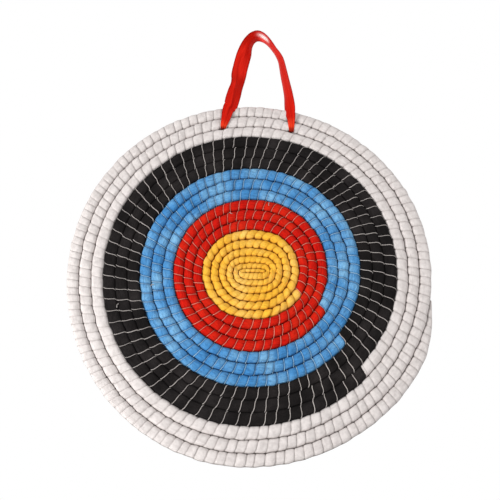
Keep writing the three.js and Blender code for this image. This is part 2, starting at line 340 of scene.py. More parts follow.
straw_lengths = np.arange(
    np.interp(rope_start_turns, course_turns, course_length) + straw_set_in,
    course_length[-1] - straw_set_back,
    straw_step,
)
straw_angle = np.arange(straw_sides) / straw_sides * 2 * math.pi
straw_course = [column[:, None] for column in on_course(straw_lengths)]
middle_x, middle_z, out_x, out_z, half_width, half_depth = straw_course
stem_angle = straw_stems * straw_angle + straw_lengths[:, None] * straw_twist_a_metre
straw_turns = np.interp(straw_lengths, course_length, course_turns)[:, None]
straw_size = (1 + straw_stem_height * np.cos(stem_angle)) * by_turn(straw_turns, straw_shares)
reach = np.cos(straw_angle) * half_width * straw_size
straw_points = hand_wound(np.stack([
    middle_x + out_x * reach,
    rope_middle_y - np.sin(straw_angle) * half_depth * straw_size,
    middle_z + out_z * reach,
], -1))
straw_along = np.broadcast_to(straw_lengths[:, None], reach.shape)
straw_around = np.broadcast_to(straw_angle * straw_radius, reach.shape)
straw_core = wound_skin("straw_rope", straw_points, straw_along, straw_around, {})

straw = Finish("dry_straw", Roughness=0.62)
stems = straw.mottle(straw.stretched(18, 900), 1, 3)
flecks = straw.mottle(straw.stretched(160, 700), 1, 2)
straw_colour = straw.mixed(stems, (0.36, 0.22, 0.07, 1), (0.78, 0.6, 0.28, 1))
straw.give("Base Color", straw.mixed((flecks - 0.55) * 3, straw_colour, (0.9, 0.78, 0.45, 1)))
straw.give("Normal", straw.relief(stems + flecks * 0.4, 0.0006))
straw_core.data.materials.append(straw.material)
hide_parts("straw_core")
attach(straw_core, "boss")


# Sleeves: five lengths of plain-woven cotton drawn over the straw rope, one after another, each cut
# off at a slant where the next begins. The sewing pulls each of them in, so that it stands up as a
# pillow between two stitches. Lists of pairs give a turn of the rope and the value there.
yellow_start = 0.09
fold_stitches = 20
yellow_end = 5.929
red_end = 8.921
blue_end = 11.896
black_end = 14.881
stitches_a_turn = [
    (0, 10), (1, 14), (2, 19), (3, 25), (4, 28), (5, 31), (6, 35), (7, 40), (8, 50), (9, 56), (10, 59),
    (11, 68), (12, 75.4), (13.97, 75.4), (14.085, 84.1), (14.2, 75.4), (14.75, 75.4), (15, 85), (16, 104),
    (17, 120), (17.36, 124), (17.42, 150), (17.66, 150), (17.72, 126), (18, 126),
]
stitch_bends = [(11.8, 1.6), (12, 1.15), (14.8, 1.15), (15, 1.5)]
stitch_pulls = [(15.38, 1), (15.46, 0.55), (15.58, 0.55), (15.66, 1)]
slants_to_width = [
    (0, 0.5), (5.8, 0.5), (6.1, 0.4), (8.8, 0.36), (9.1, 0.27), (11.8, 0.3), (12.1, 0.38), (16.2, 0.36),
    (17.2, 0.24), (18, 0.18),
]
cut_slants_to_width = [
    (0, 0.15), (yellow_end, 0.4), (red_end, 0.35), (blue_end, 0.48), (black_end, 0.43), (18, 0.06),
]
cut_bend = 1.3
needle_stray = 0.05
slant_stray = 0.15
bend_stray = 0.15
crumpled_slant = 1.5
crumpled_unevenness = 1.6
crease_pivot = 0.4
usual_pitch = 0.013
sleeve_press = 0.00006
sleeve_radius = 0.0087
hem_lip = 0.0024
hem_shares = (0.94, 0.75, 0.4)
lump_spread = 0.35
lump_tilt_spread = 0.5
aside_spread = 0.25
slot_give = 0.0011
slot_half_length = 0.005
slot_reach = 0.0035
slot_clearance = 0.0042
weave_pitch = 0.00125
pillow_steps = np.array([0, 0.05, 0.15, 0.32, 0.52, 0.71, 0.86, 0.95])
section_angles = np.concatenate([
    np.linspace(0, math.pi, 19)[:-1], np.linspace(math.pi, 2 * math.pi, 11)[:-1]
])
stitch_angles = math.pi - np.concatenate([
    np.linspace(0.2, math.pi - 0.12, 9), np.linspace(math.pi + 0.35, 2 * math.pi - 0.2, 5)
])

chance = np.random.default_rng(41)
half_lap_on = np.minimum(course_turns + 0.5, rope_end_turns)
half_lap_back = np.maximum(course_turns - 0.5, course_turns[0])
length_on, length_back = [
    np.interp(turns, course_turns, course_length) for turns in (half_lap_on, half_lap_back)
]
lap_length = (length_on - length_back) / (half_lap_on - half_lap_back)
stitches_here = by_turn(course_turns, stitches_a_turn) / lap_length
stitch_sum = np.cumsum(stitches_here * np.gradient(course_length))
course_heading = np.unwrap(np.arctan2(course_outward[:, 1], course_outward[:, 0]))
course_bend = np.abs(np.gradient(course_heading, course_length)) * course_width
crumpled = smooth((course_bend - 0.3) / 0.6)
stitch_lines = {}


def needle_places(from_turn, to_turn, lip):
    """Where the needle goes in along the rope, how far each stitch slants and how much it bends."""
    first_sum, last_sum = np.interp([from_turn, to_turn], course_turns, stitch_sum)
    count = round(last_sum - first_sum)
    sums = np.linspace(first_sum, last_sum, count + 1)
    sums[1:-1] += chance.normal(0, needle_stray, count - 1)
    places = np.interp(sums, stitch_sum, course_length)
    turn = np.interp(sums, stitch_sum, course_turns)
    width = np.interp(places, course_length, course_width)
    slants = by_turn(turn, slants_to_width) * width
    astray = chance.normal(0, slant_stray, count + 1)
    slants *= 1 + astray + crumpled_slant * np.interp(places, course_length, crumpled)
    bends = by_turn(turn, stitch_bends) + chance.normal(0, bend_stray, count + 1)
    ends = [0, -1]
    slants[ends] = by_turn(turn[ends], cut_slants_to_width) * width[ends]
    bends[ends] = cut_bend
    if lip:
        places = np.insert(places, 1, places[0] + lip)
        slants, bends = np.insert(slants, 1, slants[0]), np.insert(bends, 1, bends[0])
    return places, slants, bends


def crease_at(places, slants, bends, angles):
    """How far along the rope a stitch lies as it goes round it: its outer end is drawn back."""
    out = (np.cos(angles) + 1) / 2
    return places[:, None] - slants[:, None] * (out ** bends[:, None] - crease_pivot)


def section_at(along, angles, squareness, pull_front, pull_side, slack, lift=0.0):
    """The rope's skin at a length and round it: slack is how far the stitches draw it in there,
    which at the sides is most on the side of the centre."""
    middle_x, middle_z, out_x, out_z, half_width, half_depth = on_course(along)
    cosine, sine = np.cos(angles), np.sin(angles)
    reach = np.sign(cosine) * np.abs(cosine) ** (2 / squareness)
    rise = np.sign(sine) * np.abs(sine) ** (2 / squareness)
    centre_side = 0.7 - 0.45 * cosine
    pull_side = pull_side * half_width / (rope_width_full / 2)
    pull_front = pull_front * half_depth / (rope_thickness_full / 2)
    width = half_width + sleeve_press + lift - pull_side * slack * np.abs(sine) ** 0.7 * centre_side
    depth = half_depth + lift - pull_front * slack
    return np.stack([
        middle_x + out_x * reach * width,
        rope_middle_y - rise * depth,
        middle_z + out_z * reach * width,
    ], -1)


# Where the ribbon goes through: x, z and the slot's tilt in radians.
ribbon_slots = [(-0.0474, -0.1551, 0.192), (0.0518, -0.1589, -0.207)]


def pressed_by_ribbon(points):
    """The rope gives way where the ribbon goes through between two turns."""
    for slot_x, slot_z, tilt in ribbon_slots:
        x, z = points[..., 0] - slot_x, points[..., 2] - slot_z
        beside = x * math.cos(tilt) + z * math.sin(tilt)
        off = z * math.cos(tilt) - x * math.sin(tilt)
        near = np.exp(-(beside / slot_half_length) ** 4) * np.exp(-(off / slot_reach) ** 2)
        push = slot_give * near * np.sign(off)
        points[..., 0] -= push * math.sin(tilt)
        points[..., 2] += push * math.cos(tilt)
    return points


def sew_sleeve(
    colour, from_turn, to_turn, squareness, pull_front, pull_side, boxy, tooth, uneven, thread_lift,
    lip=0, sewn=slice(0, -1),
):
    """One sleeve over its pillows, drawn in along every stitch, and the lines of those stitches."""
    places, slants, bends = needle_places(from_turn, to_turn, lip)
    pillows = len(places) - 1
    steps = len(pillow_steps)
    crease = crease_at(places, slants, bends, section_angles)
    share = pillow_steps[None, :, None]
    along = (1 - share) * crease[:-1, None, :] + share * crease[1:, None, :]
    along = np.concatenate([along.reshape(-1, len(section_angles)), crease[-1:]])
    step = np.concatenate([np.tile(pillow_steps, pillows), [0]])[:, None]
    swell = np.where(step == 0, 0, (1 - np.abs(2 * step - 1) ** boxy) ** 0.5)

    def per_pillow(spread):
        by_chance = np.repeat(chance.normal(0, spread, pillows), steps)
        return np.concatenate([by_chance, [0]])[:, None]

    turn = np.interp(places, course_length, course_turns)
    drawn_there = np.minimum(1, np.gradient(places) / usual_pitch) * by_turn(turn, stitch_pulls)
    drawn = np.concatenate([np.repeat(drawn_there[:-1], steps), drawn_there[-1:]])[:, None]
    points = section_at(along, section_angles, squareness, pull_front, pull_side, drawn * (1 - swell))
    lumps = per_pillow(lump_spread)
    lumps = lumps + per_pillow(lump_tilt_spread) * (step - 0.5) * 2
    lumps = lumps + per_pillow(lump_spread) * np.cos(section_angles)
    rise = (rope_middle_y - points[..., 1]) / sleeve_radius
    uneven = uneven * (1 + crumpled_unevenness * np.interp(along, course_length, crumpled))
    points[..., 1] -= uneven * swell * lumps * drawn * rise
    aside = tooth * swell * (step - 0.5) * 2 + per_pillow(aside_spread) * uneven * swell
    aside = aside * np.clip(np.sin(section_angles), 0, 1) * drawn
    outward_x, outward_z = on_course(along)[2:4]
    points[..., 0] += outward_x * aside
    points[..., 2] += outward_z * aside
    pulled = np.broadcast_to(drawn * (1 - swell), along.shape)

    # Both mouths of the sleeve are turned in and closed.
    closing = len(hem_shares)
    for end in (0, -1):
        middle = points[end].mean(0)
        hems = np.stack([middle + (points[end] - middle) * share for share in hem_shares])
        points = np.concatenate([hems[::-1], points] if end == 0 else [points, hems])
        length = np.repeat(along[end][None], closing, 0)
        along = np.concatenate([length, along] if end == 0 else [along, length])
        pulled = np.concatenate([pulled[:closing], pulled] if end == 0 else [pulled, pulled[-closing:]])

    # How deep in the seam each point lies and how far the stitches pull it in: the cloth's painted shade
    # and its wear follow these.
    groove = np.broadcast_to(1 - np.abs(np.sin(section_angles)) ** (2 / squareness), along.shape)
    around = np.broadcast_to(section_angles * sleeve_radius, along.shape)
    shades = {"pulled": pulled.ravel(), "groove": groove.ravel()}
    stitch_along = crease_at(places[sewn], slants[sewn], bends[sewn], stitch_angles)
    sewn_in = drawn_there[sewn, None]
    lines = section_at(
        stitch_along, stitch_angles, squareness, pull_front, pull_side, sewn_in, thread_lift
    )
    lines = pressed_by_ribbon(hand_wound(lines))
    for slot_x, slot_z, _ in ribbon_slots:
        clear = np.hypot(lines[..., 0] - slot_x, lines[..., 2] - slot_z).min(1) > slot_clearance
        lines = lines[clear]
    stitch_lines[colour] = lines
    points = pressed_by_ribbon(hand_wound(points))
    return wound_skin(f"{colour}_cloth_sleeve", points, along, around, shades)


def dye_cotton(name, colour, worn, dark_tone_and_shade, wear, pleats, crease_shade, seam_shade, corner_shade, gloss=0.25):
    """Dyed plain-woven cotton: threads over and under, small gathers at the stitches, wear, and painted
    shade in its creases, seams and corners.
    """
    cloth = Finish(name, Roughness=0.9, Specular_IOR_Level=gloss)
    along, around = cloth.cloth_way("X"), cloth.cloth_way("Y")
    pulled = cloth.measured("pulled")
    groove = cloth.measured("groove")
    slubs_along = cloth.mottle(cloth.stretched(60, 900), 1, 1)
    slubs_around = cloth.mottle(cloth.stretched(900, 60), 1, 1)
    threads = 2 * math.pi / weave_pitch
    warp = (along * threads + slubs_along * 3).sine()
    weft = (around * threads + slubs_around * 3).sine()
    weave = warp * weft * 0.5 + 0.5
    gathers = cloth.mottle(cloth.stretched(620, 120), 1, 2)
    folds = cloth.mottle(cloth.stretched(120, 560), 1, 2)
    rumple = cloth.mottle(cloth.place(), 170, 3)
    patches = cloth.mottle(cloth.place(), 26, 3)
    fibres = cloth.mottle(cloth.place(), 1500, 2)
    tight = (pulled * 1.6 - 0.2).held()
    buried = ((groove - 0.3) * 2.2).held()
    corner = tight * ((groove - 0.12) * 2.4).held()
    # Wear: the dye rubbed paler in random patches away from the stitches.
    wear_and_painted_glint = ((patches - 0.42) * 1.6 + (weave - 0.5) * 0.5 + (fibres - 0.5)).held()
    dyed = cloth.mixed(wear_and_painted_glint * (1 - pulled) * wear, colour, worn)
    shade = (rumple - 0.5) * 0.6 + slubs_along * 0.16 + (folds - 0.5) * pleats
    dyed = cloth.mixed(shade.held(), dyed, dark_tone_and_shade)
    # Painted shade: darker in the creases the stitches pull in, in the seams between turns, and darkest
    # where the two meet.
    dyed = cloth.mixed((tight * crease_shade + buried * seam_shade + corner * corner_shade).held(), dyed, dark_tone_and_shade)
    cloth.give("Base Color", dyed)
    cloth.give("Roughness", 0.82 + fibres * 0.16)
    height = weave * 0.16 + (slubs_along + slubs_around) * 0.12 + rumple * 0.9
    height = height + gathers * (tight + 0.25) * 0.8 + folds * pleats * 1.6
    cloth.give("Normal", cloth.relief(height, 0.0011, 0.75))
    return cloth


# Yellow sleeve: golden cotton over the first six turns, from the fold at the centre. Its pillows are
# the smallest and roundest, and twist like a cord. The thread is pulled so deep into its creases that
# it hardly shows, and at the fold not at all.
yellow_sleeve = sew_sleeve(
    "yellow", yellow_start, yellow_end, squareness=2.3, pull_front=0.0028, pull_side=0.005, boxy=2.1,
    tooth=0.0015, uneven=0.0026, thread_lift=-0.0019, sewn=slice(fold_stitches, None),
)
# Painted shade darkens its creases and seams, darkest as dots where the stitches meet the seams.
yellow_cotton = dye_cotton(
    "yellow_cotton", colour=(0.95, 0.5, 0.036, 1), worn=(1, 0.77, 0.3, 1), dark_tone_and_shade=(0.3, 0.08, 0, 1),
    wear=0.9, pleats=0.7, crease_shade=0.2, seam_shade=0.8, corner_shade=1.0,
)
yellow_sleeve.data.materials.append(yellow_cotton.material)
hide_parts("yellow_sleeve")
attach(yellow_sleeve, "boss")


# Red sleeve: three turns of strong matte red cotton. It is drawn on after the yellow one and sewn with
# stitches further apart, whose creases are darkened with painted shade.
red_sleeve = sew_sleeve(
    "red", yellow_end, red_end, squareness=2.6, pull_front=0.0026, pull_side=0.0019, boxy=2.6,
    tooth=0.0006, uneven=0.0015, thread_lift=0.0009,
)
red_cotton = dye_cotton(
    "red_cotton", colour=(0.59, 0.006, 0.002, 1), worn=(0.84, 0.045, 0.01, 1), dark_tone_and_shade=(0.1, 0, 0, 1),
    wear=1.0, pleats=1.1, crease_shade=0.7, seam_shade=0.85, corner_shade=0.8, gloss=0.12,
)
red_sleeve.data.materials.append(red_cotton.material)
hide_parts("red_sleeve")
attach(red_sleeve, "boss")


# Blue sleeve: three turns of a thinner, paler cotton, whose pillows stand up well and crease. Its dye is
# rubbed lighter on their tops, and painted shade darkens its seams and creases.
blue_sleeve = sew_sleeve(
    "blue", red_end, blue_end, squareness=2.9, pull_front=0.0024, pull_side=0.0018, boxy=2.8,
    tooth=0.0008, uneven=0.0015, thread_lift=0.0006,
)
blue_cotton = dye_cotton(
    "blue_cotton", colour=(0.048, 0.24, 0.55, 1), worn=(0.35, 0.66, 0.87, 1),
    dark_tone_and_shade=(0.003, 0.02, 0.095, 1), wear=1.3, pleats=1.3, crease_shade=0.8, seam_shade=0.9, corner_shade=1.1,
)
blue_sleeve.data.materials.append(blue_cotton.material)
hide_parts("blue_sleeve")
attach(blue_sleeve, "boss")


# Black sleeve: three turns of dull black cotton. It lies rather flat between its stitches, which are
# set the furthest apart and stand out pale on it.
black_sleeve = sew_sleeve(
    "black", blue_end, black_end, squareness=5.0, pull_front=0.0009, pull_side=0.0002, boxy=4.5,
    tooth=0.0, uneven=0.0004, thread_lift=0.0004,
)
# Faint painted shade in its creases and seams.
black_cotton = dye_cotton(
    "black_cotton", colour=(0.0072, 0.006, 0.006, 1), worn=(0.045, 0.038, 0.038, 1),
    dark_tone_and_shade=(0.0015, 0.0012, 0.0012, 1), wear=1.0, pleats=0.9, crease_shade=0.35, seam_shade=0.3, corner_shade=0.3,
    gloss=0.12,
)
black_sleeve.data.materials.append(black_cotton.material)
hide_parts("black_sleeve")
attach(black_sleeve, "boss")


# White sleeve: the last three turns, of unbleached canvas, with a hem where it starts and drawn in to
# a taper where the rope ends. Its thread lies in the creases as thin grey lines.
white_sleeve = sew_sleeve(
    "white", black_end, rope_end_turns, squareness=3.3, pull_front=0.0016, pull_side=0.0018, boxy=4.0,
    tooth=0.0003, uneven=0.0008, thread_lift=-0.0001, lip=hem_lip,
)
# Painted shade darkens the seams between its turns and the corners at its stitches.
white_cotton = dye_cotton(
    "white_canvas", colour=(0.735, 0.68, 0.66, 1), worn=(0.79, 0.74, 0.725, 1),
    dark_tone_and_shade=(0.11, 0.08, 0.07, 1), wear=0.5, pleats=0.15, crease_shade=0.2, seam_shade=0.85, corner_shade=0.95,
)
white_sleeve.data.materials.append(white_cotton.material)
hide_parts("white_sleeve")
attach(white_sleeve, "boss")


# Sewing thread: grey-beige thread that whips every turn to the one inside it. Each stitch comes up in the
# inner seam, crosses the front in its own crease, and goes back behind the rope. Over red, blue and yellow
# cloth it is tinted with painted light reflected from that cloth.
thread_thickness = 0.00094
thread_sides = 4
thread_unevenness = 0.08
stitch_length = 0.045
snippet_half_thickness = thread_thickness * 0.55
snippet_bow = 0.0012
snippet_arch = 0.0016
snippet_y = 0.0033
snippets = [
    (-0.1791, -0.4237, 62, 0.0055), (-0.0324, -0.288, 140, 0.0035), (-0.1352, -0.395, 20, 0.0045),
    (0.0205, -0.2745, 75, 0.004), (0.1115, -0.2465, 50, 0.0042),
]


def round_line(line, gauge, sides):
    """Rings of a round thread along lines, of the given half thickness."""
    ahead = np.gradient(line, axis=1)
    ahead /= np.linalg.norm(ahead, axis=2, keepdims=True)
    off_rope = np.cross(ahead, np.cross(line - line.mean(1, keepdims=True), ahead))
    off_rope /= np.linalg.norm(off_rope, axis=2, keepdims=True) + 1e-9
    aside = np.cross(ahead, off_rope)
    turn_round = np.arange(sides) / sides * 2 * math.pi
    return line[:, :, None, :] + gauge * (
        off_rope[:, :, None, :] * np.cos(turn_round)[None, None, :, None]
        + aside[:, :, None, :] * np.sin(turn_round)[None, None, :, None]
    )


stitch_line = np.concatenate(list(stitch_lines.values()))
gauge = thread_thickness / 2 * (1 + chance.normal(0, thread_unevenness, (len(stitch_line), 1, 1, 1)))
stitch_points = round_line(stitch_line, gauge, thread_sides)

# A few cut ends of thread stand up beside their stitches: x, z, turn in degrees and length of each.
snippet_points = []
for x, z, turned, length in snippets:
    t = np.linspace(0, 1, stitch_line.shape[1])
    turned = math.radians(turned)
    bow = snippet_bow * np.sin(t * 2.6)
    snippet_points.append(np.stack([
        x + (t - 0.5) * length * math.cos(turned) - bow * math.sin(turned),
        snippet_y - snippet_arch * np.sin(t * math.pi * 0.8),
        z + (t - 0.5) * length * math.sin(turned) + bow * math.cos(turned),
    ], -1))
snippet_points = round_line(np.array(snippet_points), snippet_half_thickness, thread_sides)
stitch_points = np.concatenate([stitch_points, snippet_points])

stitch_count, stitch_rings = stitch_points.shape[:2]
one_stitch, first_end, last_end = tube_faces(stitch_rings, thread_sides)
if not turned_outward(stitch_points[0].reshape(-1, 3), one_stitch):
    one_stitch, first_end, last_end = one_stitch[:, ::-1], first_end[::-1], last_end[::-1]
one_faces = np.concatenate([one_stitch, [first_end, last_end]])
per_stitch = stitch_rings * thread_sides
thread_faces = (one_faces[None] + np.arange(stitch_count)[:, None, None] * per_stitch).reshape(-1, 4)
thread_shape = (stitch_count, stitch_rings, thread_sides)
thread_along = np.linspace(0, stitch_length, stitch_rings)[None, :, None]
thread_along = np.broadcast_to(thread_along, thread_shape).ravel()
thread_around = np.broadcast_to(np.arange(thread_sides) * thread_thickness * 0.8, thread_shape).ravel()
thread_shades = {}
# Which cloth each stitch lies over, for the thread's painted reflected light.
for colour in ("yellow", "red", "blue"):
    over = [np.full(len(lines), float(other == colour)) for other, lines in stitch_lines.items()]
    over = np.concatenate(over + [np.zeros(len(snippets))])
    thread_shades[f"over_{colour}"] = np.repeat(over, per_stitch)


def lay_thread(corners):
    return np.stack([thread_along[corners], thread_around[corners]], -1)


sewing_thread = lay_mesh(
    "whip_stitches", stitch_points.reshape(-1, 3), thread_faces.tolist(), lay_thread, thread_shades
)

twine = Finish("grey_beige_thread_painted_bounce", Roughness=0.7, Specular_IOR_Level=0.3)
ply = (twine.cloth_way("X") * 5200 + twine.cloth_way("Y") * 4200).sine()
fuzz = twine.mottle(twine.place(), 900, 2)
twine_colour = twine.mixed(fuzz, (0.5, 0.455, 0.43, 1), (0.74, 0.69, 0.66, 1))
# Painted reflected light: over red, blue and yellow cloth the thread takes on that cloth's hue.
twine_colour = twine.mixed(twine.measured("over_red"), twine_colour, (0.98, 0.34, 0.25, 1))
twine_colour = twine.mixed(twine.measured("over_blue"), twine_colour, (0.5, 0.8, 1, 1))
twine_colour = twine.mixed(twine.measured("over_yellow"), twine_colour, (0.85, 0.5, 0.08, 1))
twine.give("Base Color", twine.mixed(ply * 0.1 + 0.1, twine_colour, (0.2, 0.12, 0.1, 1)))
twine.give("Normal", twine.relief(ply * 0.5 + fuzz, 0.0002))
sewing_thread.data.materials.append(twine.material)
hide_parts("sewing_thread")
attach(sewing_thread, "boss")


# Ribbon: one length of red satin. It hangs in a loop above the rim, goes through between two white
# turns at both of its legs, and its ends are tied behind. The loop's stations give x, z and width in
# millimetres, and how far the ribbon is turned edge on, in degrees.
ribbon_width = 0.0225
ribbon_thickness = 0.0004
ribbon_strips = 20
loop_shape = [
    (-47.2, -158, 6, 0), (-46, -151, 9.5, 0), (-43.2, -141.5, 13, 4), (-41, -131.5, 15.5, 8),
    (-39, -124.5, 17.5, 14), (-36.2, -120.5, 20.5, 24), (-34.1, -111, 21.5, 22), (-31.2, -100, 22, 30),
    (-28.4, -90, 22.5, 42), (-26.7, -80.5, 22.5, 37), (-25.7, -70.5, 22.5, 18), (-24.3, -60, 22.5, 4),
    (-22.2, -49.5, 22.5, 4), (-19.8, -39, 22.5, 12), (-16.9, -29, 22.5, 28), (-14, -19.5, 22.5, 46),
    (-10.3, -11, 22.5, 60), (-5.6, -4.8, 22.5, 70), (0.8, -1.4, 22.5, 79), (7.8, -3.6, 22.5, 86),
    (14.5, -9.2, 22.5, 90), (21.6, -18.6, 22.5, 91), (27.9, -28.6, 22.5, 89), (33, -38, 22.5, 82),
    (36.3, -47.8, 22.5, 74), (39.5, -64.2, 22.5, 69), (43.4, -84.3, 22.5, 66), (46.2, -100, 22.5, 61),
    (48, -115.5, 21, 49), (49.2, -125, 18, 36), (49.8, -131.5, 15.5, 26), (51.2, -141, 11.5, 10),
    (51.6, -150, 9, 0), (51.8, -160, 6.5, 0),
]
loop_stations = 140
loop_y = -0.0004
entry_dip = 0.0036
entry_drop = 0.0004
slot_front_y = 0.0022
slot_back_y = 0.0222
behind_y = 0.0232
glint_at = (0.0105, -0.006)
glint_reach = 0.0095
glint_across = 0.35
glint_breadth = 0.26
pleat_depth = 0.0007
soft_fold_depth = 0.00035
leg_fold_depth = 0.0016
hollow_depth = 0.0008
curl_depth = 0.0012


def eased_through(stations, count):
    """Stations joined by a smooth line, cut into even steps."""
    stations = np.asarray(stations, float)
    before_first = 2 * stations[:1] - stations[1:2]
    after_last = 2 * stations[-1:] - stations[-2:-1]
    padded = np.concatenate([before_first, stations, after_last])
    place = np.linspace(0, len(stations) - 1, count)
    piece = np.minimum(place.astype(int), len(stations) - 2)
    t = (place - piece)[:, None]
    before, start, end, after = [padded[piece + k] for k in range(4)]
    return 0.5 * (
        2 * start + (end - before) * t + (2 * before - 5 * start + 4 * end - after) * t ** 2
        + (3 * start - before - 3 * end + after) * t ** 3
    )


def lay_ribbon(name, stations, folds, glint=None):
    """A strip of ribbon over stations (x, y, z, across x, y, z, width), with folds along it, and its
    length."""
    stations = np.array(stations)
    middles, acrosses, widths = stations[:, :3], stations[:, 3:6].copy(), stations[:, 6]
    ahead = np.gradient(middles, axis=0)
    ahead /= np.linalg.norm(ahead, axis=1, keepdims=True)
    acrosses -= ahead * np.einsum("ij,ij->i", acrosses, ahead)[:, None]
    acrosses /= np.linalg.norm(acrosses, axis=1, keepdims=True)
    facing = np.cross(ahead, acrosses)
    gathered = np.clip(1 - widths / ribbon_width, 0, 1)
    length = np.concatenate([[0], np.cumsum(np.linalg.norm(np.diff(middles, axis=0), axis=1))])
    strip_share = np.linspace(-1, 1, ribbon_strips + 1)
    pleats = folds(strip_share[None, :], length[:, None], gathered[:, None], middles)
    points = (
        middles[:, None, :]
        + acrosses[:, None, :] * (strip_share[None, :, None] * widths[:, None, None] / 2)
        + facing[:, None, :] * pleats[..., None]
    )
    rows, columns = points.shape[:2]
    row, column = np.meshgrid(np.arange(rows - 1), np.arange(columns - 1), indexing="ij")
    corner = row * columns + column
    faces = np.stack([corner, corner + 1, corner + columns + 1, corner + columns], -1).reshape(-1, 4)
    along = np.broadcast_to(length[:, None], (rows, columns)).ravel()
    around = np.broadcast_to(strip_share * ribbon_width / 2, (rows, columns)).ravel()

    def laid(corners):
        return np.stack([along[corners], around[corners]], -1)

    glare = np.zeros((rows, columns))
    if glint is not None:
        off_glint = np.hypot(*(middles[:, [0, 2]] - glint).T)
        near = np.exp(-(off_glint / glint_reach) ** 4)
        glare = near[:, None] * np.exp(-((strip_share[None, :] - glint_across) / glint_breadth) ** 2)
    y = middles[:, 1:2]
    inside = smooth((y - slot_front_y) / 0.0014) * smooth((slot_back_y - y) / 0.002)
    # Painted light carried on the ribbon: a glint at the crown, a dark line along both edges, orange-red
    # highlights where it is gathered, and shade inside the slots.
    shades = {
        "wear_and_painted_glint": glare,
        "painted_edge_shade": smooth((np.abs(strip_share) - 0.8) / 0.2),
        "painted_gathered_glint": gathered[:, None],
        "painted_slot_shade": inside,
    }
    shades = {shade: np.broadcast_to(values, (rows, columns)).ravel() for shade, values in shades.items()}
    piece = lay_mesh(name, points.reshape(-1, 3), faces.tolist(), laid, shades)
    bpy.ops.object.select_all(action="DESELECT")
    bpy.context.view_layer.objects.active = piece
    piece.select_set(True)
    thicken = piece.modifiers.new("thicken", "SOLIDIFY")
    thicken.thickness = ribbon_thickness
    thicken.offset = 0
    bpy.ops.object.modifier_apply(modifier="thicken")
    return piece, float(length[-1])


def hanging_folds(share, length, gathered, middles):
    """Pleats where the ribbon is gathered, soft folds where it hangs free, a sharper one down its
    left leg, a hollow across it, and its edge curled back at the crown."""
    x, z = middles[:, None, 0], middles[:, None, 2]
    left_leg = smooth((-x - 0.012) / 0.012) * smooth((z + 0.15) / 0.03)
    crown = np.exp(-((x - 0.0145) / 0.012) ** 4) * smooth((z + 0.05) / 0.02)
    leg_fold = np.exp(-((share - 0.25 - 0.2 * np.sin(length * 55)) / 0.22) ** 2)
    return (
        np.sin(share * 9.5 + 0.6) * gathered * pleat_depth
        + np.sin(share * 4.2 + length * 9) * soft_fold_depth
        + leg_fold * leg_fold_depth * left_leg
        - share ** 2 * hollow_depth - curl_depth * crown * np.clip((share - 0.3) / 0.7, 0, 1) ** 2
    )


# The stations run from the knot to the left slot, through it, round the loop, and back by the right.
left_slot, right_slot = ribbon_slots
slot_steps = (0.0042, 0.007, 0.0115, 0.016)
stations = [
    (-0.004, behind_y, -0.1572, 0, 0, 1, 0.008),
    (-0.02, behind_y, -0.1568, 0, 0, 1, 0.0105),
    (-0.036, behind_y, -0.1562, 0, 0.05, 1, 0.0105),
    (-0.0435, behind_y - 0.0003, -0.1557, -0.5, 0.1, 0.8, 0.009),
    (-0.047, 0.0205, -0.1553, -1, 0, -0.1, 0.0075),
]
stations += [(left_slot[0], y, left_slot[1], -1, 0, -0.2, 0.006) for y in slot_steps[::-1]]
loop = eased_through(loop_shape, loop_stations)
loop[:, :3] *= 0.001
loop_ahead = np.gradient(loop[:, :2], axis=0)
loop_ahead /= np.linalg.norm(loop_ahead, axis=1, keepdims=True)
for (x, z, width, lean), (ahead_x, ahead_z) in zip(loop, loop_ahead):
    lean = math.radians(lean)
    slot_z = left_slot[1] if x < 0 else right_slot[1]
    y = loop_y + entry_dip * float(smooth((-z - 0.138) / 0.02))
    across = (-ahead_z * math.cos(lean), -math.sin(lean), ahead_x * math.cos(lean))
    stations.append((x, y, max(z, slot_z - entry_drop), *across, width))
stations += [(right_slot[0], y, right_slot[1], 1, 0, -0.2, 0.006) for y in slot_steps]
stations += [
    (0.0514, 0.0205, -0.1589, 1, 0, -0.1, 0.0075),
    (0.0475, behind_y - 0.0003, -0.1585, 0.5, 0.1, -0.8, 0.009),
    (0.036, behind_y, -0.158, 0, 0.05, -1, 0.0105),
    (0.022, behind_y, -0.1575, 0, 0, -1, 0.0105),
    (0.008, behind_y, -0.1572, 0, 0, -1, 0.008),
]
ribbon, ribbon_length = lay_ribbon("hanging_ribbon", stations, hanging_folds, glint_at)

satin = Finish("red_satin", Roughness=0.4, Specular_IOR_Level=0.06, Coat_Roughness=0.22, Coat_IOR=2.2)
floats = satin.mottle(satin.stretched(70, 5200), 1, 2)
creases = satin.mottle(satin.stretched(14, 420), 1, 2)
satin_colour = satin.mixed(floats, (0.6, 0.01, 0.003, 1), (0.72, 0.018, 0.006, 1))
# Painted shade: darker streaks along the lengthwise creases.
satin_colour = satin.mixed(((creases - 0.35) * 1.6).held(), satin_colour, (0.4, 0.002, 0.001, 1))
# Painted shade: a dark line along both edges of the ribbon.
satin_colour = satin.mixed(satin.measured("painted_edge_shade") * 0.7, satin_colour, (0.25, 0.001, 0.001, 1))
# Painted highlight: where the ribbon is gathered, near the slots, on the tails and on the knot, it is
# lightened to a bright orange-red.
painted_gathered_glint = ((satin.measured("painted_gathered_glint") - 0.45) * 6).held() * 0.7
satin_colour = satin.mixed(painted_gathered_glint, satin_colour, (0.95, 0.07, 0.02, 1))
# Painted shade: darker where the ribbon runs inside the rope.
satin_colour = satin.mixed(satin.measured("painted_slot_shade") * 0.85, satin_colour, (0.12, 0.001, 0.001, 1))
